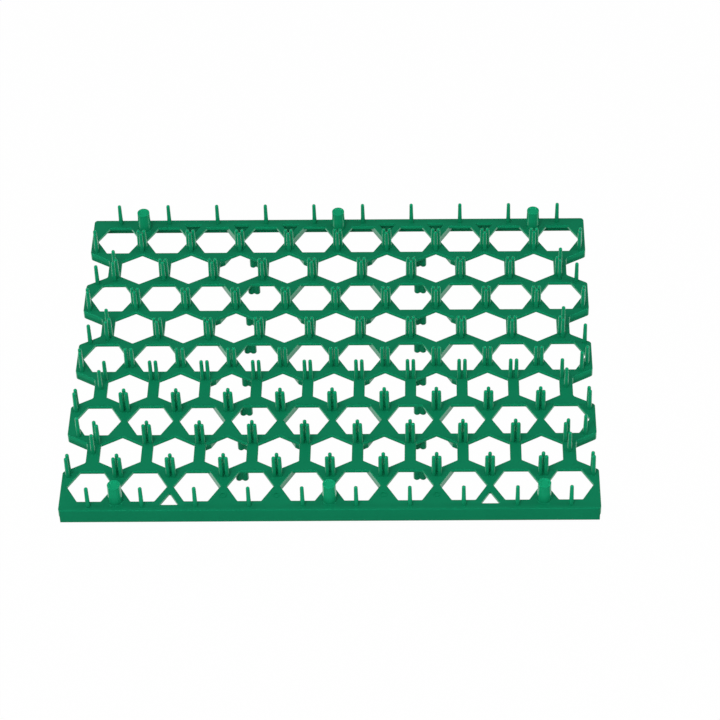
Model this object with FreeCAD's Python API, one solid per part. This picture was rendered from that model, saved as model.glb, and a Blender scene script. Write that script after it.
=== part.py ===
import FreeCAD, Part
import math
import os

# Setter tray for pheasant eggs, one injection-moulded piece of polypropylene.
# A flat plate is pierced by nine staggered rows of hexagonal seats. Rows of ten seats
# have two edges along the tray, rows of nine have two edges across it and end in a
# half-seat notch on each side. Every seat is ringed by three upright tapered pins.
# Frame: +Z up, X along the rows, Y from front to back, origin under the middle of the
# tray on the surface that its rails and feet stand on. Millimetres.

# ---- seats ----
SEAT_PITCH = 41.0            # centre to centre of neighbouring seats
ROW_COUNT = 9                # odd rows hold LONG_ROW seats, even rows one fewer
LONG_ROW = 10
LONG_SEAT_FLATS = 31.4       # across the flats of a seat in a row of ten
SHORT_SEAT_FLATS = 32.0      # across the flats of a seat in a row of nine
# ---- plate, rails and skirts ----
PLATE_THICKNESS = 2.9
TRAY_HEIGHT = 13.0           # standing surface to the top of the plate
RAIL_MARGIN = 25.7           # centre of an end row to the outside of its rail
SIDE_MARGIN = 2.4            # end of the seat lattice to the outside of the skirt
END_WEB = 10.6               # last seat of a row of nine to the notch beside it
SKIRT_DEPTH = 8.0            # side skirts and inner ribs, from the top of the plate
WALL = 2.2                   # rails and skirts
RAIL_END_STEP = 0.8          # the rails stop this far inside the sides
# ---- openings in the rails ----
BAR_WIDTH = 5.4              # between a triangular opening and the seats beside it
RAIL_TOP_WIDTH = 6.2         # between a triangular opening and the outside
BACK_WINDOWS = (-3, -2, -1, 1, 2, 3)      # places along the rail, in seat pitches
FRONT_WINDOWS = (-3, 3)
# ---- inner ribs and feet ----
RIB_THICKNESS = 2.6
RIB_SETBACK = 0.5            # rib face behind the edge of the seat beside it
SPINE_PLACES = (-1.5, 1.5)   # middle of each pair of ribs, in seat pitches
FOOT_LOBE_DIAMETER = 5.4     # each foot is two round lobes side by side
FOOT_LOBE_OFFSET = 2.4       # from the middle of the foot to that of a lobe
FOOT_GROOVE = 0.9            # depth of the groove between the lobes, on both sides
FOOT_NOTCH = 0.8             # the lower edge is this much higher between the lobes
FOOT_SIDES = 12
FOOT_OFFSET = 7.5            # middle of a foot outwards from the middle of its spine
FOOT_STAGGER = 1.3           # and towards the row of nine that it stands beside
# ---- pins and posts ----
PIN_CIRCLE = 21.0            # centre of a seat to its pins
PIN_HEIGHT = 20.4
PIN_BASE_DIAMETER = 3.7
PIN_TIP_DIAMETER = 3.0
PIN_SIDES = 6                # flat sides of each pin
NOTCH_PIN_INSET = 2.9        # the notch's middle pin, in from the end of the lattice
NOTCH_STOP = (6.8, 18.5)     # its corner pin, in from the end and along the notch
POST_PLACES = (-4, 0, 4)     # along both rails, in seat pitches
POST_HEIGHT = 17.8
POST_BASE_DIAMETER = 11.0
POST_TOP_DIAMETER = 10.2
POST_DISH_DIAMETER = 7.0
POST_DISH_DEPTH = 0.6
POST_CORE_DIAMETER = 6.8     # moulded hollow, open below
POST_CORE_END_DIAMETER = 6.2
POST_TOP_THICKNESS = 2.6
POST_SIDES = 18

# ---- worked out ----
ROW_PITCH = SEAT_PITCH * math.sqrt(3) / 2
PLATE_BOTTOM = TRAY_HEIGHT - PLATE_THICKNESS
SKIRT_BOTTOM = TRAY_HEIGHT - SKIRT_DEPTH
LATTICE_END = LONG_ROW * SEAT_PITCH / 2
HALF_LENGTH = LATTICE_END + SIDE_MARGIN
HALF_WIDTH = (ROW_COUNT - 1) * ROW_PITCH / 2 + RAIL_MARGIN
LAST_SHORT_SEAT = LATTICE_END - SEAT_PITCH
NOTCH_WALL = LAST_SHORT_SEAT + SHORT_SEAT_FLATS / 2 + END_WEB
SLOPE = math.tan(math.radians(30))
OVERLAP = 0.4                # how far fused pieces reach into each other


def row_y(row):
    """Centre line of a row; row 1 is at the back, ROW_COUNT at the front."""
    return ((ROW_COUNT + 1) / 2 - row) * ROW_PITCH


def is_long(row):
    return row % 2 == 1


def seat_xs(row):
    """X of the seats of a row."""
    count = LONG_ROW if is_long(row) else LONG_ROW - 1
    return [(k - (count - 1) / 2) * SEAT_PITCH for k in range(count)]


def hexagon(x, y, flats, first_angle):
    radius = flats / math.sqrt(3)
    angles = [math.radians(first_angle + 60 * k) for k in range(6)]
    return [(x + radius * math.cos(a), y + radius * math.sin(a)) for a in angles]


def seat_outline(row, x):
    if is_long(row):
        return hexagon(x, row_y(row), LONG_SEAT_FLATS, 0)
    return hexagon(x, row_y(row), SHORT_SEAT_FLATS, 30)


def polygon_wire(points, z):
    corners = [FreeCAD.Vector(x, y, z) for x, y in points]
    return Part.makePolygon(corners + corners[:1])


def prism(outlines, low, high):
    """Upright solid between two heights; outlines after the first are openings in it."""
    wires = [polygon_wire(points, low) for points in outlines]
    face = Part.makeFace(wires, "Part::FaceMakerBullseye")
    return face.extrude(FreeCAD.Vector(0, 0, high - low))


def notched_outline(inset):
    """Outline of the tray, with its sides cut in at each row of nine, moved inwards by inset."""
    end = HALF_LENGTH - inset
    edge = HALF_WIDTH - inset
    wall = NOTCH_WALL - inset
    # the sloping sides of a notch continue the hexagon of the missing half seat
    reach = SHORT_SEAT_FLATS / math.sqrt(3) + inset / math.cos(math.radians(30))
    wall_half = reach - (LATTICE_END - wall) * SLOPE
    mouth_half = reach + (end - LATTICE_END) * SLOPE
    right = [(end, edge)]
    for row in range(2, ROW_COUNT, 2):
        y = row_y(row)
        right.append((end, y + mouth_half))
        right.append((wall, y + wall_half))
        right.append((wall, y - wall_half))
        right.append((end, y - mouth_half))
    right.append((end, -edge))
    left = [(-x, y) for x, y in reversed(right)]
    return right + left


def window_outline(place, side):
    """Triangle between two seats of an end row and its rail; side is 1 at the back, -1 in front."""
    base = HALF_WIDTH - RAIL_TOP_WIDTH
    centre = (ROW_COUNT - 1) * ROW_PITCH / 2
    # its sloping sides run BAR_WIDTH outside those of the seats on each side of it
    away = LONG_SEAT_FLATS / 2 + BAR_WIDTH
    apex = centre + (away - SEAT_PITCH / 2 * math.cos(math.radians(30))) / 0.5
    half = (base - apex) * SLOPE
    x = place * SEAT_PITCH
    return [(x - half, side * base), (x + half, side * base), (x, side * apex)]


def make_plate():
    """Plate with its openings cut one by one, so that wide seats may run into each other."""
    openings = []
    for row in range(1, ROW_COUNT + 1):
        openings += [seat_outline(row, x) for x in seat_xs(row)]
    openings += [window_outline(place, 1) for place in BACK_WINDOWS]
    openings += [window_outline(place, -1) for place in FRONT_WINDOWS]
    plate = prism([notched_outline(0)], PLATE_BOTTOM, TRAY_HEIGHT)
    low = PLATE_BOTTOM - OVERLAP
    return plate.cut([prism([outline], low, TRAY_HEIGHT + OVERLAP) for outline in openings])


def make_skirt():
    """Wall all round under the edge of the plate, down to the depth of the side skirts."""
    outlines = [notched_outline(0), notched_outline(WALL)]
    return prism(outlines, SKIRT_BOTTOM, PLATE_BOTTOM + OVERLAP)


def make_rail(side):
    """Deep wall that the tray stands on, at the back for side 1 and in front for side -1."""
    length = 2 * (HALF_LENGTH - RAIL_END_STEP)
    low_y = HALF_WIDTH - WALL if side > 0 else -HALF_WIDTH
    corner = FreeCAD.Vector(-length / 2, low_y, 0)
    return Part.makeBox(length, WALL, SKIRT_BOTTOM + OVERLAP, corner)


def rib_path(spine, side):
    """Middle line of the rib on one side of a spine, from back to front.

    It keeps one distance from the seats that it passes: round the corner that a seat of
    ten points at the spine, then along the outer edges of the seat of nine beside it."""
    gap = RIB_SETBACK + RIB_THICKNESS / 2
    # distances from the spine: the corner that the rib turns round in a row of ten ...
    near = SEAT_PITCH - (LONG_SEAT_FLATS + 2 * gap) / math.sqrt(3)
    # ... and the wall that it follows in a row of nine
    far = SEAT_PITCH / 2 + SHORT_SEAT_FLATS / 2 + gap
    far_half = (far - SEAT_PITCH / 2) * SLOPE
    # where the sloping runs along the two seats meet, seen from the row of ten
    peak = 2 * far_half - ROW_PITCH
    bend = (3 * near - SEAT_PITCH / 2 - math.sqrt(3) * peak) / 2
    drop = math.sqrt(3) * (bend - near)
    back = HALF_WIDTH - WALL / 2
    start = near + (back - row_y(1)) * SLOPE
    points = [(start, back)]
    for row in range(1, ROW_COUNT + 1):
        y = row_y(row)
        if is_long(row):
            points.append((near, y))
        else:
            above = row_y(row - 1) - drop
            below = row_y(row + 1) + drop
            points += [(bend, above), (far, y + far_half), (far, y - far_half), (bend, below)]
    points.append((start, -back))
    centre = spine * SEAT_PITCH
    return [(centre + side * x, y) for x, y in points]


def strip_outline(path, width):
    """Outline of a strip of constant width along a path of straight runs."""
    left = []
    right = []
    for k, (x, y) in enumerate(path):
        before = path[max(k - 1, 0)]
        after = path[min(k + 1, len(path) - 1)]
        turn_in = math.atan2(y - before[1], x - before[0]) if k > 0 else None
        turn_out = math.atan2(after[1] - y, after[0] - x) if k < len(path) - 1 else None
        if turn_in is None:
            turn_in = turn_out
        if turn_out is None:
            turn_out = turn_in
        bend = (turn_out - turn_in) / 2
        normal = turn_in + bend + math.pi / 2
        offset = width / 2 / math.cos(bend)
        left.append((x + offset * math.cos(normal), y + offset * math.sin(normal)))
        right.append((x - offset * math.cos(normal), y - offset * math.sin(normal)))
    return left + right[::-1]


def make_rib(spine, side):
    outline = strip_outline(rib_path(spine, side), RIB_THICKNESS)
    return prism([outline], SKIRT_BOTTOM, PLATE_BOTTOM + OVERLAP)


def foot_places():
    """Centres of the feet: one beside each spine between each two rows."""
    places = []
    for spine in SPINE_PLACES:
        outwards = math.copysign(1, spine)
        x = spine * SEAT_PITCH + outwards * FOOT_OFFSET
        for row in range(1, ROW_COUNT):
            between = (row_y(row) + row_y(row + 1)) / 2
            towards = 1 if is_long(row + 1) else -1
            places.append((x, between + towards * FOOT_STAGGER))
    return places


def make_foot(x, y):
    """Two upright lobes side by side, with a web between them that stops short of the floor."""
    height = PLATE_BOTTOM + OVERLAP
    size = FOOT_LOBE_DIAMETER
    web = size - 2 * FOOT_GROOVE
    corner = FreeCAD.Vector(x - FOOT_LOBE_OFFSET, y - web / 2, FOOT_NOTCH)
    foot = Part.makeBox(2 * FOOT_LOBE_OFFSET, web, height - FOOT_NOTCH, corner)
    lobes = []
    for side in (-1, 1):
        lobe_x = x + side * FOOT_LOBE_OFFSET
        lobes.append(taper(lobe_x, y, (0, size), (height, size), FOOT_SIDES))
    return foot.fuse(lobes)


def pin_places():
    """Centres of all pins. Seats of the back half have one behind and two in front, seats
    of the front half the other way round."""
    places = []
    middle = (ROW_COUNT + 1) // 2
    for row in range(1, ROW_COUNT + 1):
        side = 1 if row <= middle else -1
        angles = [math.radians(side * a) for a in (90, 210, 330)]
        for x in seat_xs(row):
            for angle in angles:
                px = x + PIN_CIRCLE * math.cos(angle)
                py = row_y(row) + PIN_CIRCLE * math.sin(angle)
                places.append((px, py))
        if not is_long(row):
            places += notch_pins(row, side)
    return places


def notch_pins(row, side):
    """Four pins round the notch at each end of a row of nine."""
    inward = PIN_CIRCLE * math.cos(math.radians(30))
    end_web_middle = NOTCH_WALL - END_WEB / 2
    right = [
        (LATTICE_END - inward, -side * PIN_CIRCLE / 2),
        (LATTICE_END - NOTCH_PIN_INSET, side * PIN_CIRCLE),
        (end_web_middle, 0),
        (LATTICE_END - NOTCH_STOP[0], -side * NOTCH_STOP[1]),
    ]
    return [(k * x, row_y(row) + y) for k in (-1, 1) for x, y in right]


def taper(x, y, low, high, sides):
    """Upright solid with flat sides between two round ends, each a (height, diameter)."""
    turns = [2 * math.pi * (k + 0.5) / sides for k in range(sides)]
    rings = []
    for z, diameter in (low, high):
        radius = diameter / 2
        rings.append([FreeCAD.Vector(x + radius * math.cos(a), y + radius * math.sin(a), z) for a in turns])
    bottom, top = rings
    outlines = [bottom, top]
    for k in range(sides):
        outlines.append([bottom[k - 1], bottom[k], top[k], top[k - 1]])
    faces = [Part.Face(Part.makePolygon(points + points[:1])) for points in outlines]
    return Part.Solid(Part.Shell(faces))


def make_pin(x, y):
    low = (TRAY_HEIGHT - OVERLAP, PIN_BASE_DIAMETER)
    high = (TRAY_HEIGHT + PIN_HEIGHT, PIN_TIP_DIAMETER)
    return taper(x, y, low, high, PIN_SIDES)


def post_y():
    """Posts stand at the middle of the triangle between two end seats and the rail."""
    _, base_corner, apex = window_outline(0, 1)
    return (2 * base_corner[1] + apex[1]) / 3


def post_places():
    return [(place * SEAT_PITCH, side * post_y()) for side in (-1, 1) for place in POST_PLACES]


def make_post(x, y):
    """Tapered post; it is hollowed with post_hollows once it stands on the plate."""
    low = (PLATE_BOTTOM + OVERLAP, POST_BASE_DIAMETER)
    high = (TRAY_HEIGHT + POST_HEIGHT, POST_TOP_DIAMETER)
    return taper(x, y, low, high, POST_SIDES)


def post_hollows(x, y):
    """Shallow dish in the top of a post, and the hollow that opens below the plate."""
    top = TRAY_HEIGHT + POST_HEIGHT
    dish_floor = (top - POST_DISH_DEPTH, POST_DISH_DIAMETER - 2 * POST_DISH_DEPTH)
    core_end = (top - POST_TOP_THICKNESS, POST_CORE_END_DIAMETER)
    dish = taper(x, y, dish_floor, (top, POST_DISH_DIAMETER), POST_SIDES)
    core = taper(x, y, (0, POST_CORE_DIAMETER), core_end, POST_SIDES)
    return [dish, core]


def make_tray():
    bodies = [make_skirt(), make_rail(-1), make_rail(1)]
    for spine in SPINE_PLACES:
        bodies += [make_rib(spine, side) for side in (-1, 1)]
    bodies += [make_foot(x, y) for x, y in foot_places()]
    bodies += [make_post(x, y) for x, y in post_places()]
    bodies += [make_pin(x, y) for x, y in pin_places()]
    hollows = []
    for x, y in post_places():
        hollows += post_hollows(x, y)
    tray = make_plate().fuse(bodies).cut(hollows)
    return tray.Solids[0]


if __name__ == "__main__":
    os.makedirs("parts", exist_ok=True)
    tray = make_tray()
    tray.exportStep("parts/tray.step")
    print("tray", tray.isValid(), round(tray.Volume / 1000, 2), "cm3", len(tray.Faces), "faces")
    print("box", tray.BoundBox)
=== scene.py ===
import math

import bpy
import numpy as np
from mathutils import Matrix, Vector


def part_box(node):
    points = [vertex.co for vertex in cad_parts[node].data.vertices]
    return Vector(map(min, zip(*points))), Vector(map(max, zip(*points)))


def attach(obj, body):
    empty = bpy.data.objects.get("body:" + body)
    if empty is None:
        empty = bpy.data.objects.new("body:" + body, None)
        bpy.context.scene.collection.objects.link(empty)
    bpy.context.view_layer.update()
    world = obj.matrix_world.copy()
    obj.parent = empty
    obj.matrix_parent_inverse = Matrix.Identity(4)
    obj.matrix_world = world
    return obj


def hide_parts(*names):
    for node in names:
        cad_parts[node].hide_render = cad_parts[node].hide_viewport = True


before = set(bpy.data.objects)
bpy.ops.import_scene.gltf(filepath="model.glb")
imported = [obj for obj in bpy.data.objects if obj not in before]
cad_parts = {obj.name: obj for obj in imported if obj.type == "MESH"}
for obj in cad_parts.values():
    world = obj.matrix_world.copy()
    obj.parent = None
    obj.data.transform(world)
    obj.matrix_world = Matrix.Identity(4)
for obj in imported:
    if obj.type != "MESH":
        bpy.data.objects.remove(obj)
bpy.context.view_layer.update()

bl_info = {
    "name": "Pheasant egg tray",
    "version": (1, 0, 0),
    "blender": (4, 5, 0),
    "location": "View3D > Sidebar > Egg tray",
    "description": "Moulded setter tray with staggered hexagonal seats, guide pins and deep rails",
    "category": "Object",
}

MM = 0.001
TRAY_NODE = "tray"
TRAY_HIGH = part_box(TRAY_NODE)[1]

# ---- layout of the seats ----
ROW_COUNT = 9                # odd rows hold LONG_ROW seats, even rows one fewer
LONG_ROW = 10
BACK_WINDOWS = (-3, -2, -1, 1, 2, 3)      # places along the rails, in seat pitches
FRONT_WINDOWS = (-3, 3)
FRONT_RINGS = (-2, -1, 1, 2)
POST_PLACES = (-4, 0, 4)
OUTER_STOPS = ((4, 1), (6, -1))           # row and end, 1 is the right
SPINE_PLACES = (-1.5, 1.5)
HEX_TURN = math.radians(30)
SLOPE = math.tan(HEX_TURN)
SIDE_MARGIN = 2.4 * MM       # end of the seat lattice to the outside of the skirt
WINDOW_LIP = 0.7             # lip of a window as a share of the lip of a seat

# ---- heights at which the finish changes, above or below the top of the plate: the roughness, and the colour, which is painted darker on the flat top (painted shade) and lighter on the pins, posts and walls (painted light) ----
# TOP_BAND also bounds the painted shade: the flat top's colour is painted darker there
TOP_BAND = 0.15 * MM         # the textured top reaches this far up and down
POLISH = 0.6 * MM            # polished from here on, up and down
# the pins' and posts' colour is painted lighter from PIN_START up to PIN_FULL, a painted glow for
# light passing through them
PIN_START = 1.2 * MM         # from here up a pin gets lighter
PIN_FULL = 9.0 * MM          # and here it is lightest
# the walls' colour is painted lighter between WALL_END and WALL_FULL below the top, a painted glow
# for light passing through thin plastic; not on the outer faces of the rails
WALL_FULL = 3.0 * MM         # down to here the walls are light
WALL_END = 4.8 * MM          # and here they have the plain colour again
FACE_START = 0.6 * MM        # in from the outer face of a rail, which stays plain
FACE_FULL = 1.2 * MM         # and further in the walls may be light

# ---- patterns, in waves per metre ----
CLOUD_WAVES = 22.0
PEEL_WAVES = 260.0
GRAIN_WAVES = 1500.0
FIBRE_WAVES = 900.0
FIBRE_HEIGHT = 0.02 * MM
PAPER = (0.60, 0.60, 0.60, 1)
LIT_FROM, LIT_TO = -0.20, 0.05   # lean of a ray to the back where the lit paper starts


def length(name, description, default, smallest=0.0):
    """A size in metres that the panel shows as a length."""
    return bpy.props.FloatProperty(
        name=name, description=description, default=default, min=smallest,
        unit="LENGTH", subtype="DISTANCE", precision=5,
    )


class TraySizes(bpy.types.PropertyGroup):
    """Sizes of the tray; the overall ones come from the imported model."""

    seat_pitch: length(
        "Seat pitch", "Centre to centre of neighbouring seats",
        (TRAY_HIGH.x - SIDE_MARGIN) * 2 / LONG_ROW,
    )
    long_seat: length("Long-row seat", "Across the flats of a seat in a row of ten", 31.4 * MM)
    short_seat: length("Short-row seat", "Across the flats of a seat in a row of nine", 32.0 * MM)
    plate: length("Plate", "Thickness of the plate", 2.9 * MM)
    height: length("Height", "Standing surface to the top of the plate", 13.0 * MM)
    end_web: length("End web", "Last seat of a row of nine to the notch beside it", 10.6 * MM)
    skirt: length("Skirt", "Depth of the side skirts and ribs below the top", 8.0 * MM)
    wall: length("Wall", "Thickness of rails and skirts", 2.2 * MM)
    rail_step: length("Rail step", "How far the rails stop inside the sides", 0.8 * MM)
    corner: length("Corner", "Radius of the upright corners", 2.7 * MM)
    lip: length("Lip", "Radius of the moulded upper edges", 0.9 * MM)
    edge: length("Edge", "Radius of the lower edges", 0.35 * MM)
    bar: length("Bar", "Between a rail window and the seats beside it", 5.4 * MM)
    rail_top: length("Rail top", "Between a rail window and the outside", 6.2 * MM)
    rib: length("Rib", "Thickness of the inner ribs", 2.6 * MM)
    rib_setback: length("Rib setback", "Rib face behind the edge of the seat", 0.5 * MM)
    foot_lobe: length("Foot lobe", "Diameter of each lobe of a foot", 5.4 * MM)
    foot_spread: length("Foot spread", "Middle of a foot to the middle of a lobe", 2.4 * MM)
    foot_groove: length("Foot groove", "Depth of the groove between the lobes", 0.9 * MM)
    foot_notch: length("Foot notch", "Lower edge higher between the lobes", 0.8 * MM)
    foot_round: length("Foot rounding", "Radius round the lower end of a lobe", 1.3 * MM)
    foot_offset: length("Foot offset", "Foot outwards from the middle of its spine", 7.5 * MM)
    foot_stagger: length("Foot stagger", "Foot towards the row of nine beside it", 1.3 * MM)
    pin_circle: length("Pin circle", "Centre of a seat to its pins", 21.0 * MM)
    pin_base: length("Pin base", "Diameter of a pin at the plate", 3.7 * MM)
    pin_tip: length("Pin tip", "Diameter of a pin below its dome", 3.0 * MM)
    pin_fillet: length("Pin fillet", "Radius at the foot of a pin", 0.4 * MM)
    pin_round: length("Pin rounding", "Radius round the tip of a pin", 1.2 * MM)
    notch_pin: length("Notch pin", "Middle pin of a notch, in from the lattice end", 2.9 * MM)
    stop_in: length("Stop in", "Corner pin of a notch, in from the lattice end", 6.8 * MM)
    stop_along: length("Stop along", "Corner pin of a notch, along the notch", 18.5 * MM)
    outer_stop: length("Outer stop", "The same where the pin stands further out", 20.5 * MM)
    post_height: length("Post height", "Posts above the plate", 17.8 * MM)
    post_base: length("Post base", "Diameter of a post at the plate", 11.0 * MM)
    post_top: length("Post top", "Diameter of a post at its rim", 10.2 * MM)
    post_dish: length("Post dish", "Diameter of the dish in a post", 7.0 * MM)
    post_dish_depth: length("Post dish depth", "Depth of the dish in a post", 0.6 * MM)
    post_core: length("Post core", "Diameter of the hollow under a post", 6.8 * MM)
    post_roof: length("Post roof", "Plastic left above the hollow", 2.6 * MM)
    ring: length("Ring mark", "Diameter of the plain ring marks on the front rail", 5.6 * MM)
    ring_line: length("Ring line", "Width of the line of a ring mark", 0.9 * MM)
    ring_rise: length("Ring rise", "Height of a ring mark above the plate", 0.45 * MM)
    ring_back: length("Ring setback", "How far a ring mark stands behind the posts", 5.2 * MM)


def share(name, description, default):
    """A setting from 0 to 1."""
    return bpy.props.FloatProperty(
        name=name, description=description, default=default, min=0.0, max=1.0,
        subtype="FACTOR", precision=3,
    )


class TrayFinish(bpy.types.PropertyGroup):
    """Colour and surface of the plastic, with the painted shade of the flat top and the painted
    light of the pins, posts and walls.
    """

    colour: bpy.props.FloatVectorProperty(
        name="Colour", description="Body colour of the plastic", subtype="COLOR",
        size=3, min=0.0, max=1.0, default=(0.004, 0.225, 0.101),
    )
    cloudiness: share("Clouds", "How much the colour varies where the melt has flowed", 0.10)
    # painted shade: the share by which the flat top's colour is painted darker
    painted_top_shade: share("Matt shade", "Colour of the textured flat top, as a share", 0.90)
    # painted light: the colour of the walls just below the top is painted lighter by this factor
    painted_wall_light: bpy.props.FloatProperty(
        name="Wall lightness", description="Colour of the thin walls round the openings",
        default=1.35, min=1.0, max=2.0,
    )
    # painted light: the colour of the pins and posts is painted lighter by this factor, a painted
    # glow
    painted_pin_light: bpy.props.FloatProperty(
        name="Pin lightness", description="Colour of the pins and posts that light passes through",
        default=1.50, min=1.0, max=2.0,
    )
    roughness: share("Roughness", "Mean roughness of the polished surfaces", 0.13)
    matt_roughness: share("Matt roughness", "Roughness of the textured flat top", 0.36)
    sheen_level: share("Reflectivity", "Strength of reflections seen straight on", 0.80)
    sheen_tint: bpy.props.FloatVectorProperty(
        name="Sheen tint", description="Tint of reflections seen straight on",
        subtype="COLOR", size=3, min=0.0, max=1.0, default=(0.08, 1.0, 0.55),
    )
    peel: length("Orange peel", "Height of the slow ripple in the surface", 0.03 * MM)
    grain: length("Grain", "Height of the fine grain in the surface", 0.008 * MM)


class StudioSettings(bpy.types.PropertyGroup):
    """Camera and backdrop."""

    pitch: bpy.props.FloatProperty(
        name="Pitch", description="Camera's angle below the horizon", unit="ROTATION",
        subtype="ANGLE", default=0.7707,
    )
    yaw: bpy.props.FloatProperty(
        name="Yaw", description="Camera's turn towards +X", unit="ROTATION",
        subtype="ANGLE", default=-0.0097,
    )
    roll: bpy.props.FloatProperty(
        name="Roll", description="Camera's turn about its own axis", unit="ROTATION",
        subtype="ANGLE", default=-0.0122,
    )
    lens: bpy.props.FloatProperty(
        name="Lens", description="Focal length in millimetres", default=138.9, min=1.0,
    )
    shift: bpy.props.FloatProperty(
        name="Shift", description="Sideways shift of the lens", default=-0.0818,
    )
    place: bpy.props.FloatVectorProperty(
        name="Camera", description="Place of the camera", subtype="TRANSLATION",
        unit="LENGTH", size=3, default=(0.0836, -1.6071, 1.5692),
    )
    floor_size: length("Floor", "Side of the square floor", 8.0)
    room_light: share("Room light", "Brightness of the soft light from all round", 0.38)
    room_glint: share("Room glint", "Brightness of the room in reflections", 0.08)
    backdrop: share("Backdrop", "How evenly white the camera sees the floor", 0.99)


# lamps: name, place in metres, width, height, power in watts, whether it shows in
# reflections; all point at the tray
SOFTBOXES = (
    ("front softbox", (-0.40, -1.80, 2.15), 1.5, 0.9, 46.0, False),
    ("left strip", (-1.40, -0.10, 1.30), 0.30, 1.1, 5.0, True),
    ("right strip", (1.40, -0.10, 1.30), 0.30, 1.1, 5.0, True),
)


# ---------------------------------------------------------------- shapes


def rounded_path(corners, radius, steps):
    """Closed anticlockwise path round a polygon, with its outward normals.

    Each corner is an arc tangent to both sides. Its centre is the corner moved by
    radius * (n1 + n2) / (1 + n1.n2), inwards at an outer corner and outwards at an
    inner one, where n1 and n2 are the normals of the two sides, and the normal turns
    evenly from n1 to n2 along it."""
    corners = np.asarray(corners, float)
    along = np.roll(corners, -1, 0) - corners
    if np.sum(corners[:, 0] * np.roll(corners, -1, 0)[:, 1]
              - np.roll(corners, -1, 0)[:, 0] * corners[:, 1]) < 0:
        return rounded_path(corners[::-1], radius, steps)
    along /= np.linalg.norm(along, axis=1, keepdims=True)
    out = np.stack([along[:, 1], -along[:, 0]], 1)
    before = np.roll(out, 1, 0)
    turn = np.arctan2(
        before[:, 0] * out[:, 1] - before[:, 1] * out[:, 0], np.sum(before * out, 1)
    )
    side = np.sign(turn)[:, None]
    centre = corners - side * radius * (before + out) / (1 + np.sum(before * out, 1))[:, None]
    turned = turn[:, None] * np.linspace(0, 1, steps + 1)
    angle = np.arctan2(before[:, 1], before[:, 0])[:, None] + turned
    normals = np.stack([np.cos(angle), np.sin(angle)], 2)
    points = centre[:, None] + side[:, None] * radius * normals
    return points.reshape(-1, 2), normals.reshape(-1, 2)


def circle_path(sides):
    """Unit circle as a path about the origin: its points are its own normals, so a
    profile carried along it with its radius as the offset gives a turned shape."""
    angle = 2 * np.pi * (np.arange(sides) + 0.5) / sides
    normals = np.stack([np.cos(angle), np.sin(angle)], 1)
    return np.zeros_like(normals), normals


def arc(centre, radius, start, end, steps):
    """Profile points centre + radius * (cos a, sin a), a in degrees from start to end."""
    angle = np.radians(np.linspace(start, end, steps + 1))
    return np.stack([centre[0] + radius * np.cos(angle), centre[1] + radius * np.sin(angle)], 1)


def carried(path, profile):
    """Closed solid from a profile carried along a closed path.

    Ring i, point j lies at path point j, moved out along its normal by the profile's
    first column and lifted to its second. The profile runs from the rim of the lower
    cap to the rim of the upper one; both caps are flat."""
    points, normals = path
    profile = np.asarray(profile, float)
    flat = points[None] + normals[None] * profile[:, 0, None, None]
    lift = np.broadcast_to(profile[:, 1, None, None], flat.shape[:2] + (1,))
    vertices = np.concatenate([flat, lift], 2).reshape(-1, 3)
    count = len(points)
    ring = np.arange(len(profile) - 1)[:, None] * count
    here = np.arange(count)[None]
    after = (here + 1) % count
    quads = np.stack(
        [ring + here, ring + after, ring + count + after, ring + count + here], 2
    ).reshape(-1, 4)
    lower = np.arange(count)[::-1][None]
    upper = (np.arange(count) + (len(profile) - 1) * count)[None]
    return vertices, [quads, lower, upper]


def repeated(solid, places):
    """Copies of a solid moved to each of the places, as one set of vertices and faces."""
    vertices, faces = solid
    places = np.asarray(places, float)
    shift = np.zeros((len(places), 1, 3))
    shift[:, 0, : places.shape[1]] = places
    count = np.arange(len(places))[:, None, None] * len(vertices)
    moved = (vertices[None] + shift).reshape(-1, 3)
    return moved, [(f[None] + count).reshape(-1, f.shape[1]) for f in faces]


def joined(solids):
    """Several solids as one set of vertices and faces."""
    start = np.cumsum([0] + [len(v) for v, _ in solids])
    vertices = np.concatenate([v for v, _ in solids])
    faces = [f + s for (_, fs), s in zip(solids, start) for f in fs]
    return vertices, faces


def as_object(name, solid):
    """Object in the scene made of a set of vertices and faces."""
    vertices, faces = solid
    mesh = bpy.data.meshes.new(name)
    mesh.from_pydata(vertices.tolist(), [], [f for group in faces for f in group.tolist()])
    mesh.update()
    made = bpy.data.objects.new(name, mesh)
    bpy.context.scene.collection.objects.link(made)
    return made


def combine(base, solid, operation):
    """Adds a closed solid to a closed object, or cuts it out."""
    tool = as_object("tool", solid)
    change = base.modifiers.new("change", "BOOLEAN")
    change.solver = "MANIFOLD"
    change.operation = operation
    change.object = tool
    graph = bpy.context.evaluated_depsgraph_get()
    mesh = bpy.data.meshes.new_from_object(base.evaluated_get(graph))
    base.modifiers.clear()
    before = base.data
    base.data = mesh
    bpy.data.meshes.remove(before)
    tool_mesh = tool.data
    bpy.data.objects.remove(tool)
    bpy.data.meshes.remove(tool_mesh)
    if not mesh.polygons:
        raise RuntimeError(f"nothing left of {base.name} after {operation}")


# ---------------------------------------------------------------- layout


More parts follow.
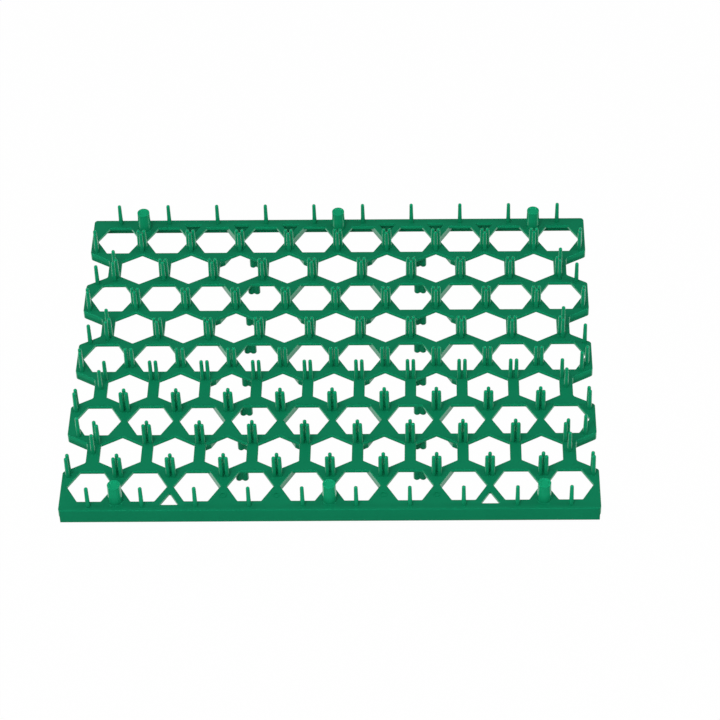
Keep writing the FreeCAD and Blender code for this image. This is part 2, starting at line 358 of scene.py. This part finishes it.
class Layout:
    """Places and outlines that follow from the sizes."""

    def __init__(self, sizes):
        self.s = sizes
        self.pitch = sizes.seat_pitch
        self.row_pitch = self.pitch * math.sqrt(3) / 2
        self.top = sizes.height
        self.plate_bottom = sizes.height - sizes.plate
        self.skirt_bottom = sizes.height - sizes.skirt
        self.lattice_end = LONG_ROW * self.pitch / 2
        self.half_length = TRAY_HIGH.x
        self.half_width = TRAY_HIGH.y
        last_short = self.lattice_end - self.pitch
        self.notch_wall = last_short + sizes.short_seat / 2 + sizes.end_web

    def row_y(self, row):
        """Centre line of a row; row 1 is at the back."""
        return ((ROW_COUNT + 1) / 2 - row) * self.row_pitch

    def seats(self, long):
        """Centres of all seats in the rows of ten, or in the rows of nine."""
        count = LONG_ROW if long else LONG_ROW - 1
        rows = np.arange(1 if long else 2, ROW_COUNT + 1, 2)
        x = (np.arange(count) - (count - 1) / 2) * self.pitch
        grid = np.meshgrid(x, self.row_y(rows))
        return np.stack(grid, 2).reshape(-1, 2)

    def hexagon(self, flats, first_angle):
        """Corners of a regular hexagon about the origin: each lies the width across the
        flats over the root of 3 away, every 60 degrees from the first angle on."""
        angle = np.radians(first_angle + 60 * np.arange(6))
        return flats / math.sqrt(3) * np.stack([np.cos(angle), np.sin(angle)], 1)

    def outline(self):
        """Corners of the tray, its sides cut in at each row of nine."""
        s = self.s
        reach = s.short_seat / math.sqrt(3)
        wall_half = reach - (self.lattice_end - self.notch_wall) * SLOPE
        mouth_half = reach + (self.half_length - self.lattice_end) * SLOPE
        right = [(self.half_length, self.half_width)]
        for row in range(2, ROW_COUNT, 2):
            y = self.row_y(row)
            right.append((self.half_length, y + mouth_half))
            right.append((self.notch_wall, y + wall_half))
            right.append((self.notch_wall, y - wall_half))
            right.append((self.half_length, y - mouth_half))
        right.append((self.half_length, -self.half_width))
        return right + [(-x, y) for x, y in reversed(right)]

    def window(self, side):
        """Triangle between two seats of an end row and the rail; side 1 is the back.

        Its slanted sides run along the seats, a bar's width off, and meet half way
        between them, (away - pitch / 2 * cos 30) / sin 30 from the row's centre line."""
        s = self.s
        base = self.half_width - s.rail_top
        centre = (ROW_COUNT - 1) * self.row_pitch / 2
        away = s.long_seat / 2 + s.bar
        apex = centre + (away - self.pitch / 2 * math.cos(HEX_TURN)) / math.sin(HEX_TURN)
        half = (base - apex) * SLOPE
        return [(-half, side * base), (half, side * base), (0, side * apex)]

    def window_middle(self):
        """Distance of the middle of a window's triangle from the middle of the tray."""
        _, (_, base), (_, apex) = self.window(1)
        return (2 * base + apex) / 3

    def posts(self):
        """Centres of the posts, on both rails and level with the middles of the windows."""
        y = self.window_middle()
        return [(k * self.pitch, side * y) for side in (-1, 1) for k in POST_PLACES]

    def seat_pins(self):
        """Three pins round each seat, on the pin circle at 90, 210 and 330 degrees: one
        behind and two in front of it in the back half, and turned round in the front
        half."""
        places = []
        for long in (True, False):
            seats = self.seats(long)
            side = np.where(seats[:, 1] > -self.row_pitch / 2, 1, -1)[:, None]
            angle = np.radians([90, 210, 330])[None] * side
            ring = np.stack([np.cos(angle), np.sin(angle)], 2) * self.s.pin_circle
            places.append((seats[:, None] + ring).reshape(-1, 2))
        return np.concatenate(places)

    def notch_pins(self):
        """Three pins round the notch at each end of the rows of nine: one beside its
        mouth, one on the web behind it and one at its other corner, which stands further
        out in two of the notches."""
        s = self.s
        places = []
        for row in range(2, ROW_COUNT, 2):
            side = 1 if row <= (ROW_COUNT + 1) // 2 else -1
            for end in (-1, 1):
                mouth = (self.lattice_end - s.notch_pin, side * s.pin_circle)
                web = (self.notch_wall - s.end_web / 2, 0)
                stop = (self.lattice_end - s.stop_in, -side * s.stop_along)
                if (row, end) in OUTER_STOPS:
                    stop = (self.lattice_end - s.notch_pin, -side * s.outer_stop)
                places += [(end * x, self.row_y(row) + y) for x, y in (mouth, web, stop)]
        return np.array(places)

    def feet(self):
        """Centres of the feet: half way between two rows on each spine, then outwards
        from the spine and a little towards the row of nine."""
        s = self.s
        rows = np.arange(1, ROW_COUNT)
        between = (self.row_y(rows) + self.row_y(rows + 1)) / 2
        y = between + np.where(rows % 2 == 0, 1, -1) * s.foot_stagger
        spots = []
        for spine in SPINE_PLACES:
            x = spine * self.pitch + math.copysign(s.foot_offset, spine)
            spots.append(np.stack([np.full(len(y), x), y], 1))
        return np.concatenate(spots)

    def rib(self, spine, side):
        """Middle line of a rib: round the corner that each seat of ten points at the
        spine, then along the outer edges of each seat of nine, always one distance off."""
        s = self.s
        gap = s.rib_setback + s.rib / 2
        near = self.pitch - (s.long_seat + 2 * gap) / math.sqrt(3)
        far = self.pitch / 2 + s.short_seat / 2 + gap
        far_half = (far - self.pitch / 2) * SLOPE
        peak = 2 * far_half - self.row_pitch
        bend = (3 * near - self.pitch / 2 - math.sqrt(3) * peak) / 2
        drop = math.sqrt(3) * (bend - near)
        back = self.half_width - s.wall / 2
        start = near + (back - self.row_y(1)) * SLOPE
        points = [(start, back)]
        for row in range(1, ROW_COUNT + 1):
            y = self.row_y(row)
            if row % 2:
                points.append((near, y))
            else:
                points.append((bend, self.row_y(row - 1) - drop))
                points += [(far, y + far_half), (far, y - far_half)]
                points.append((bend, self.row_y(row + 1) + drop))
        points.append((start, -back))
        return np.array(points) * (side, 1) + (spine * self.pitch, 0)


def strip(path, width):
    """Outline of a strip of constant width: each point moves to both sides along the
    mean of its two runs' normals, by half the width over the cosine of half the turn."""
    run = np.diff(path, axis=0)
    run /= np.linalg.norm(run, axis=1, keepdims=True)
    out = np.stack([run[:, 1], -run[:, 0]], 1)
    before = np.concatenate([out[:1], out])
    after = np.concatenate([out, out[-1:]])
    mean = (before + after) / (1 + np.sum(before * after, 1))[:, None]
    return np.concatenate([path + mean * width / 2, (path - mean * width / 2)[::-1]])


# ---------------------------------------------------------------- tray


ARC_STEPS = 4
PIN_SIDES = 12


def plate_and_skirt(at):
    """Plate with the skirt that hangs from its edge: down the inside of the skirt, round
    its lower edge, up the outside and over the rounded upper edge."""
    s = at.s
    path = rounded_path(at.outline(), s.corner, ARC_STEPS)
    profile = np.concatenate([
        [(-s.wall - s.edge, at.plate_bottom)],
        [(-s.wall, at.plate_bottom - s.edge)],
        arc((-s.wall + s.edge, at.skirt_bottom + s.edge), s.edge, 180, 270, 2),
        arc((-s.edge, at.skirt_bottom + s.edge), s.edge, 270, 360, 2),
        arc((-s.lip, at.top - s.lip), s.lip, 0, 90, ARC_STEPS),
    ])
    return carried(path, profile)


def rails(at):
    """Deep bars under the front and back edges that the tray stands on: a narrow
    rounded rectangle carried from a rounded lower edge up into the skirt."""
    s = at.s
    end = at.half_length - s.rail_step
    bars = []
    for side in (-1, 1):
        near = side * (at.half_width - s.wall)
        far = side * at.half_width
        path = rounded_path([(-end, near), (end, near), (end, far), (-end, far)], s.edge, 2)
        profile = np.concatenate([
            arc((-s.edge, s.edge), s.edge, 270, 360, 2),
            [(0, at.skirt_bottom + s.edge)],
        ])
        bars.append(carried(path, profile))
    return joined(bars)


def ribs(at):
    """Four ribs under the plate: the strip round each rib's middle line, carried up from
    a rounded lower edge into the plate."""
    s = at.s
    profile = np.concatenate([
        arc((-s.edge, at.skirt_bottom + s.edge), s.edge, 270, 360, 2),
        [(0, at.plate_bottom + s.edge)],
    ])
    made = []
    for spine in SPINE_PLACES:
        for side in (-1, 1):
            outline = strip(at.rib(spine, side), s.rib)
            made.append(carried(rounded_path(outline, 2 * s.edge, 2), profile))
    return joined(made)


def foot_lobes(at, side):
    """One lobe of every foot: a quarter circle and an upright line, turned about the
    middle of the lobe and moved sideways from each foot's centre."""
    s = at.s
    radius = s.foot_lobe / 2
    profile = np.concatenate([
        arc((radius - s.foot_round, s.foot_round), s.foot_round, 270, 360, 4),
        [(radius, at.plate_bottom + s.edge)],
    ])
    lobe = carried(circle_path(24), profile)
    return repeated(lobe, at.feet() + (side * s.foot_spread, 0))


def foot_webs(at):
    """Flat web between the two lobes of every foot: a rounded rectangle between their
    middles, carried from a rounded lower edge up into the plate."""
    s = at.s
    x = s.foot_spread
    y = s.foot_lobe / 2 - s.foot_groove
    low = s.foot_notch
    path = rounded_path([(-x, -y), (x, -y), (x, y), (-x, y)], 2 * s.edge, 2)
    profile = np.concatenate([
        arc((-s.edge, low + s.edge), s.edge, 270, 360, 2),
        [(0, at.plate_bottom + s.edge)],
    ])
    return repeated(carried(path, profile), at.feet())


def seat_cutter(at, corners, lip):
    """Prism through the plate, the corners' path carried up a profile that flares out
    by a small quarter circle below and a larger one above, which leaves rounded lips."""
    s = at.s
    top = at.top
    low = at.plate_bottom
    profile = np.concatenate([
        [(s.edge, low - s.plate)],
        arc((s.edge, low + s.edge), -s.edge, 90, 0, 2),
        arc((lip, top - lip), -lip, 0, -90, ARC_STEPS),
        [(lip, top + s.plate)],
    ])
    return carried(rounded_path(corners, lip, 3), profile)


def windows(at):
    """Cutters of all rail windows, each a seat cutter with three corners."""
    made = []
    for side, places in ((1, BACK_WINDOWS), (-1, FRONT_WINDOWS)):
        cutter = seat_cutter(at, at.window(side), at.s.lip * WINDOW_LIP)
        made.append(repeated(cutter, [(k * at.pitch, 0) for k in places]))
    return joined(made)


def pins(at, places):
    """Tapered pins: a hollow fillet at the plate, a straight taper and a round tip,
    turned about each pin's centre."""
    s = at.s
    base = s.pin_base / 2
    tip = s.pin_tip / 2
    high = TRAY_HIGH.z
    centre = (tip - s.pin_round, high - s.pin_round)
    profile = np.concatenate([
        [(base + s.pin_fillet, at.top - s.edge)],
        arc((base + s.pin_fillet, at.top + s.pin_fillet), -s.pin_fillet, 90, 0, 2),
        arc(centre, s.pin_round, 0, 90, 3),
    ])
    return repeated(carried(circle_path(PIN_SIDES), profile), places)


def posts(at):
    """Tapered posts: a hollow fillet, a straight taper, a rounded rim and the slope of a
    shallow dish, turned about each post's centre."""
    s = at.s
    base = s.post_base / 2
    rim = s.post_top / 2
    dish = s.post_dish / 2
    top = at.top + s.post_height
    fillet = 2 * s.pin_fillet
    profile = np.concatenate([
        [(base + fillet, at.top - s.edge)],
        arc((base + fillet, at.top + fillet), -fillet, 90, 0, 3),
        arc((rim - s.edge, top - s.edge), s.edge, 0, 90, 3),
        [(dish, top), (dish - s.post_dish_depth, top - s.post_dish_depth)],
    ])
    return repeated(carried(circle_path(36), profile), at.posts())


def post_cores(at):
    """Hollows under the posts, open below: an upright line and a quarter circle, turned
    about each post's centre."""
    s = at.s
    radius = s.post_core / 2
    bend = radius / 5
    end = at.top + s.post_height - s.post_roof
    profile = np.concatenate([
        [(radius, 0)],
        arc((radius - bend, end - bend), bend, 0, 90, 3),
    ])
    return repeated(carried(circle_path(24), profile), at.posts())


def ring_discs(at, radius, low, high):
    """Flat discs at the places of the ring marks on the solid parts of the front rail:
    an upright line turned about each mark's centre."""
    disc = carried(circle_path(32), [(radius, low), (radius, high)])
    across = at.s.ring_back - at.window_middle()
    return repeated(disc, [(k * at.pitch, across) for k in FRONT_RINGS])


def add_ring_marks(tray, at):
    """Plain raised rings: a low disc with a narrower, slightly sunk disc taken out."""
    s = at.s
    rise = at.top + s.ring_rise
    sunk = at.top - s.ring_rise / 3
    combine(tray, ring_discs(at, s.ring / 2, at.top - s.edge, rise), "UNION")
    inner = ring_discs(at, s.ring / 2 - s.ring_line, sunk, rise + s.edge)
    combine(tray, inner, "DIFFERENCE")


def mould_tray(sizes):
    """The whole tray as one closed shape: the plate with its openings cut out and the
    rails, ribs, feet, ring marks, posts and pins merged into it."""
    at = Layout(sizes)
    tray = as_object("egg_tray", plate_and_skirt(at))
    for long, flats, angle in ((True, sizes.long_seat, 0), (False, sizes.short_seat, 30)):
        cutter = seat_cutter(at, at.hexagon(flats, angle), sizes.lip)
        combine(tray, repeated(cutter, at.seats(long)), "DIFFERENCE")
    combine(tray, windows(at), "DIFFERENCE")
    combine(tray, rails(at), "UNION")
    combine(tray, ribs(at), "UNION")
    combine(tray, foot_webs(at), "UNION")
    for side in (-1, 1):
        combine(tray, foot_lobes(at, side), "UNION")
    add_ring_marks(tray, at)
    combine(tray, posts(at), "UNION")
    combine(tray, post_cores(at), "DIFFERENCE")
    # the pins of a notch nearly touch those of the seats, so they're added on their own
    for places in (at.seat_pins(), at.notch_pins()):
        combine(tray, pins(at, places), "UNION")
    mesh = tray.data
    mesh.shade_smooth()
    mesh.set_sharp_from_angle(angle=math.radians(35))
    weighted = tray.modifiers.new("even normals", "WEIGHTED_NORMAL")
    weighted.keep_sharp = True
    weighted.weight = 100
    return tray


# ---------------------------------------------------------------- materials


def group_node(tree, group):
    """Place of a node group in a material."""
    node = tree.nodes.new("ShaderNodeGroup")
    node.node_tree = group
    return node


def ripple_group():
    """Node group of a relief made of noise, made when it's first asked for. Its inputs
    are the waves per metre, their height in metres and the normal of the surface under
    it. It gives the noise as a value and the rippled surface as a normal."""
    made = bpy.data.node_groups.get("ripple")
    if made:
        return made
    group = bpy.data.node_groups.new("ripple", "ShaderNodeTree")
    group.interface.new_socket("Waves per metre", in_out="INPUT", socket_type="NodeSocketFloat")
    group.interface.new_socket("Height", in_out="INPUT", socket_type="NodeSocketFloat")
    group.interface.new_socket("Under", in_out="INPUT", socket_type="NodeSocketVector")
    group.interface.new_socket("Value", in_out="OUTPUT", socket_type="NodeSocketFloat")
    group.interface.new_socket("Normal", in_out="OUTPUT", socket_type="NodeSocketVector")
    nodes = group.nodes
    given = nodes.new("NodeGroupInput")
    result = nodes.new("NodeGroupOutput")
    where = nodes.new("ShaderNodeTexCoord")
    noise = nodes.new("ShaderNodeTexNoise")
    noise.inputs["Detail"].default_value = 2.0
    bump = nodes.new("ShaderNodeBump")
    bump.inputs["Strength"].default_value = 1.0
    links = group.links
    links.new(where.outputs["Object"], noise.inputs["Vector"])
    links.new(given.outputs["Waves per metre"], noise.inputs["Scale"])
    links.new(noise.outputs["Fac"], bump.inputs["Height"])
    links.new(given.outputs["Height"], bump.inputs["Distance"])
    links.new(given.outputs["Under"], bump.inputs["Normal"])
    links.new(noise.outputs["Fac"], result.inputs["Value"])
    links.new(bump.outputs["Normal"], result.inputs["Normal"])
    return group


def scaled(nodes, links, colour, factor):
    """Colour times a value, as a node output."""
    times = nodes.new("ShaderNodeVectorMath")
    times.operation = "SCALE"
    links.new(colour, times.inputs[0])
    links.new(factor, times.inputs["Scale"])
    return times.outputs["Vector"]


def seen_straight(nodes, links, path):
    """Value of 1 where the camera sees a surface directly or through glass, else 0."""
    either = nodes.new("ShaderNodeMath")
    either.operation = "MAXIMUM"
    links.new(path.outputs["Is Camera Ray"], either.inputs[0])
    links.new(path.outputs["Is Transmission Ray"], either.inputs[1])
    return either.outputs[0]


def height_ramp(nodes, links, height, stops):
    """Value that changes with the height above the floor, straight between the stops,
    each a height and a value."""
    curve = None
    for (low, start), (high, end) in zip(stops, stops[1:]):
        step = nodes.new("ShaderNodeMapRange")
        step.inputs["From Min"].default_value = low
        step.inputs["From Max"].default_value = high
        step.inputs["To Min"].default_value = 0.0
        step.inputs["To Max"].default_value = end - start
        links.new(height, step.inputs["Value"])
        total = nodes.new("ShaderNodeMath")
        total.operation = "ADD"
        links.new(step.outputs["Result"], total.inputs[0])
        if curve is None:
            total.inputs[1].default_value = start
        else:
            links.new(curve, total.inputs[1])
        curve = total.outputs[0]
    return curve


def moulded_plastic(name, finish, top, rail_face):
    """Satin polypropylene: slow clouds of colour where the melt has flowed, a slow
    orange-peel ripple and a fine grain. The flat top comes from a textured part of the
    mould and is matt; its colour is also painted darker, a painted shade. The rest is
    polished, and its colour is painted lighter, a painted glow standing in for light that
    passes through thin plastic: in the pins, the posts and the walls just below the top.
    Both change with the height above the floor; the outer faces of the rails keep the
    plain colour."""
    material = bpy.data.materials.new(name)
    material.use_nodes = True
    tree = material.node_tree
    nodes = tree.nodes
    links = tree.links
    shader = nodes["Principled BSDF"]
    shader.inputs["Specular IOR Level"].default_value = finish.sheen_level
    shader.inputs["Specular Tint"].default_value = (*finish.sheen_tint, 1)
    where = nodes.new("ShaderNodeTexCoord")
    split = nodes.new("ShaderNodeSeparateXYZ")
    links.new(where.outputs["Object"], split.inputs[0])
    cloud = nodes.new("ShaderNodeTexNoise")
    cloud.inputs["Scale"].default_value = CLOUD_WAVES
    cloud.inputs["Detail"].default_value = 4.0
    cloud.inputs["Distortion"].default_value = 0.6
    links.new(where.outputs["Object"], cloud.inputs["Vector"])
    mix = nodes.new("ShaderNodeMix")
    mix.data_type = "RGBA"
    colour = np.array(finish.colour)
    mix.inputs["A"].default_value = (*(colour * (1 - finish.cloudiness)), 1)
    mix.inputs["B"].default_value = (*(colour * (1 + finish.cloudiness)), 1)
    links.new(cloud.outputs["Fac"], mix.inputs["Factor"])
    height = split.outputs["Z"]
    # painted shade and light: the flat top's colour painted darker, and the pins' and posts'
    # colour painted lighter going up, a painted glow
    shade = height_ramp(nodes, links, height, [
        (top - POLISH, 1.0), (top - TOP_BAND, finish.painted_top_shade),
        (top + TOP_BAND, finish.painted_top_shade), (top + PIN_START, 1.0),
        (top + PIN_FULL, finish.painted_pin_light),
    ])
    # painted light on the walls just below the top, a painted glow
    lighter = height_ramp(nodes, links, height, [
        (top - WALL_END, 0.0), (top - WALL_FULL, finish.painted_wall_light - 1),
        (top - POLISH, finish.painted_wall_light - 1), (top - TOP_BAND, 0.0),
    ])
    # mask that keeps the painted wall light off the outer faces of the rails
    depth = nodes.new("ShaderNodeMath")
    depth.operation = "ABSOLUTE"
    links.new(split.outputs["Y"], depth.inputs[0])
    inside = nodes.new("ShaderNodeMapRange")
    inside.inputs["From Min"].default_value = rail_face - FACE_START
    inside.inputs["From Max"].default_value = rail_face - FACE_FULL
    links.new(depth.outputs[0], inside.inputs["Value"])
    total = nodes.new("ShaderNodeMath")
    total.operation = "MULTIPLY_ADD"
    links.new(lighter, total.inputs[0])
    links.new(inside.outputs["Result"], total.inputs[1])
    links.new(shade, total.inputs[2])
    colour = scaled(nodes, links, mix.outputs["Result"], total.outputs[0])
    links.new(colour, shader.inputs["Base Color"])
    gloss = height_ramp(nodes, links, height, [
        (top - POLISH, finish.roughness), (top - TOP_BAND, finish.matt_roughness),
        (top + TOP_BAND, finish.matt_roughness), (top + POLISH, finish.roughness),
    ])
    uneven = nodes.new("ShaderNodeMapRange")
    uneven.inputs["To Min"].default_value = 0.75
    uneven.inputs["To Max"].default_value = 1.25
    links.new(cloud.outputs["Fac"], uneven.inputs["Value"])
    rough = nodes.new("ShaderNodeMath")
    rough.operation = "MULTIPLY"
    links.new(gloss, rough.inputs[0])
    links.new(uneven.outputs["Result"], rough.inputs[1])
    links.new(rough.outputs[0], shader.inputs["Roughness"])
    surface = nodes.new("ShaderNodeNewGeometry")
    peel = group_node(tree, ripple_group())
    peel.inputs["Waves per metre"].default_value = PEEL_WAVES
    peel.inputs["Height"].default_value = finish.peel
    grain = group_node(tree, ripple_group())
    grain.inputs["Waves per metre"].default_value = GRAIN_WAVES
    grain.inputs["Height"].default_value = finish.grain
    links.new(surface.outputs["Normal"], peel.inputs["Under"])
    links.new(peel.outputs["Normal"], grain.inputs["Under"])
    links.new(grain.outputs["Normal"], shader.inputs["Normal"])
    return material


def floor_material(studio):
    """Pale matt paper that the camera sees almost white, so that only a faint shadow of
    the tray is left on it. Reflections look through it at the room's lower half."""
    material = bpy.data.materials.new("pale floor")
    material.use_nodes = True
    tree = material.node_tree
    nodes = tree.nodes
    links = tree.links
    shader = nodes["Principled BSDF"]
    shader.inputs["Base Color"].default_value = PAPER
    shader.inputs["Roughness"].default_value = 0.9
    surface = nodes.new("ShaderNodeNewGeometry")
    fibre = group_node(tree, ripple_group())
    fibre.inputs["Waves per metre"].default_value = FIBRE_WAVES
    fibre.inputs["Height"].default_value = FIBRE_HEIGHT
    links.new(surface.outputs["Normal"], fibre.inputs["Under"])
    links.new(fibre.outputs["Normal"], shader.inputs["Normal"])
    path = nodes.new("ShaderNodeLightPath")
    white = nodes.new("ShaderNodeEmission")
    white.inputs["Strength"].default_value = 1.0
    share_white = nodes.new("ShaderNodeMath")
    share_white.operation = "MULTIPLY"
    share_white.inputs[1].default_value = studio.backdrop
    links.new(seen_straight(nodes, links, path), share_white.inputs[0])
    seen = nodes.new("ShaderNodeMixShader")
    links.new(share_white.outputs[0], seen.inputs[0])
    links.new(shader.outputs[0], seen.inputs[1])
    links.new(white.outputs[0], seen.inputs[2])
    clear = nodes.new("ShaderNodeBsdfTransparent")
    final = nodes.new("ShaderNodeMixShader")
    links.new(path.outputs["Is Glossy Ray"], final.inputs[0])
    links.new(seen.outputs[0], final.inputs[1])
    links.new(clear.outputs[0], final.inputs[2])
    links.new(final.outputs[0], nodes["Material Output"].inputs["Surface"])
    return material


def room(studio):
    """Soft light from all round; the camera itself sees plain white.

    In reflections the room is dim, except below the horizon, where the paper stands: it
    turns from dim towards the front to white towards the back, where it is lit."""
    world = bpy.data.worlds.new("studio")
    world.use_nodes = True
    nodes = world.node_tree.nodes
    links = world.node_tree.links
    light = nodes["Background"]
    glint = nodes.new("ShaderNodeBackground")
    white = nodes.new("ShaderNodeBackground")
    light.inputs["Strength"].default_value = studio.room_light
    white.inputs["Strength"].default_value = 1.0
    for source in (light, glint, white):
        source.inputs["Color"].default_value = (1, 1, 1, 1)
    ray = nodes.new("ShaderNodeTexCoord")
    split = nodes.new("ShaderNodeSeparateXYZ")
    links.new(ray.outputs["Object"], split.inputs[0])
    below = nodes.new("ShaderNodeMath")
    below.operation = "LESS_THAN"
    below.inputs[1].default_value = 0.0
    links.new(split.outputs["Z"], below.inputs[0])
    lit = nodes.new("ShaderNodeMapRange")
    lit.inputs["From Min"].default_value = LIT_FROM
    lit.inputs["From Max"].default_value = LIT_TO
    lit.inputs["To Max"].default_value = 1 - studio.room_glint
    links.new(split.outputs["Y"], lit.inputs["Value"])
    paper = nodes.new("ShaderNodeMath")
    paper.operation = "MULTIPLY_ADD"
    links.new(lit.outputs["Result"], paper.inputs[0])
    links.new(below.outputs[0], paper.inputs[1])
    paper.inputs[2].default_value = studio.room_glint
    links.new(paper.outputs[0], glint.inputs["Strength"])
    path = nodes.new("ShaderNodeLightPath")
    mirrored = nodes.new("ShaderNodeMixShader")
    links.new(path.outputs["Is Glossy Ray"], mirrored.inputs[0])
    links.new(light.outputs[0], mirrored.inputs[1])
    links.new(glint.outputs[0], mirrored.inputs[2])
    seen = nodes.new("ShaderNodeMixShader")
    links.new(seen_straight(nodes, links, path), seen.inputs[0])
    links.new(mirrored.outputs[0], seen.inputs[1])
    links.new(white.outputs[0], seen.inputs[2])
    links.new(seen.outputs[0], nodes["World Output"].inputs["Surface"])
    return world


# ---------------------------------------------------------------- operators


class TRAY_OT_mould(bpy.types.Operator):
    """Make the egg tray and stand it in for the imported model"""

    bl_idname = "egg_tray.mould"
    bl_label = "Mould the tray"

    def execute(self, context):
        finish = context.scene.tray_finish
        sizes = context.scene.tray_sizes
        tray = mould_tray(sizes)
        tray.data.materials.clear()
        rail_face = Layout(sizes).half_width
        plastic = moulded_plastic("green plastic", finish, sizes.height, rail_face)
        tray.data.materials.append(plastic)
        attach(tray, "root")
        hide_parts(TRAY_NODE)
        return {"FINISHED"}


def add_floor(studio):
    """Square sheet of paper on which the tray stands."""
    half = studio.floor_size / 2
    corners = half * np.array([(-1, -1, 0), (1, -1, 0), (1, 1, 0), (-1, 1, 0)], float)
    floor = as_object("floor", (corners, [np.array([[0, 1, 2, 3]])]))
    floor.data.materials.append(floor_material(studio))


def add_softbox(scene, name, place, width, height, power, mirrored):
    """Rectangular lamp that points at the middle of the tray."""
    lamp = bpy.data.lights.new(name, "AREA")
    lamp.shape = "RECTANGLE"
    lamp.size = width
    lamp.size_y = height
    lamp.energy = power
    holder = bpy.data.objects.new(name, lamp)
    holder.visible_glossy = mirrored
    scene.collection.objects.link(holder)
    turn = (-Vector(place)).to_track_quat("-Z", "Y").to_matrix().to_4x4()
    holder.matrix_world = Matrix.Translation(place) @ turn


def add_camera(scene, studio):
    """Camera that looks along +Y before it is rolled, pitched down and turned."""
    data = bpy.data.cameras.new("camera")
    data.lens = studio.lens
    data.shift_x = studio.shift
    data.clip_end = 2 * studio.floor_size
    camera = bpy.data.objects.new("camera", data)
    scene.collection.objects.link(camera)
    turn = (
        Matrix.Rotation(-studio.yaw, 4, "Z")
        @ Matrix.Rotation(math.pi / 2 - studio.pitch, 4, "X")
        @ Matrix.Rotation(studio.roll, 4, "Z")
    )
    camera.matrix_world = Matrix.Translation(studio.place) @ turn
    scene.camera = camera


class TRAY_OT_stage(bpy.types.Operator):
    """Set up the floor, lamps and camera"""

    bl_idname = "egg_tray.stage"
    bl_label = "Set the stage"

    def execute(self, context):
        scene = context.scene
        studio = scene.tray_studio
        add_floor(studio)
        scene.world = room(studio)
        for softbox in SOFTBOXES:
            add_softbox(scene, *softbox)
        add_camera(scene, studio)
        scene.view_settings.view_transform = "Standard"
        return {"FINISHED"}


class TRAY_PT_panel(bpy.types.Panel):
    """Egg tray tools"""

    bl_label = "Egg tray"
    bl_idname = "TRAY_PT_panel"
    bl_space_type = "VIEW_3D"
    bl_region_type = "UI"
    bl_category = "Egg tray"

    def draw(self, context):
        layout = self.layout
        for operator in (TRAY_OT_mould, TRAY_OT_stage):
            layout.operator(operator.bl_idname)


CLASSES = (TraySizes, TrayFinish, StudioSettings, TRAY_OT_mould, TRAY_OT_stage, TRAY_PT_panel)


def register():
    for made in CLASSES:
        bpy.utils.register_class(made)
    bpy.types.Scene.tray_sizes = bpy.props.PointerProperty(type=TraySizes)
    bpy.types.Scene.tray_finish = bpy.props.PointerProperty(type=TrayFinish)
    bpy.types.Scene.tray_studio = bpy.props.PointerProperty(type=StudioSettings)


def unregister():
    for name in ("tray_sizes", "tray_finish", "tray_studio"):
        delattr(bpy.types.Scene, name)
    for made in reversed(CLASSES):
        bpy.utils.unregister_class(made)


def main():
    register()
    bpy.ops.egg_tray.mould()
    bpy.ops.egg_tray.stage()


if __name__ == "__main__":
    main()
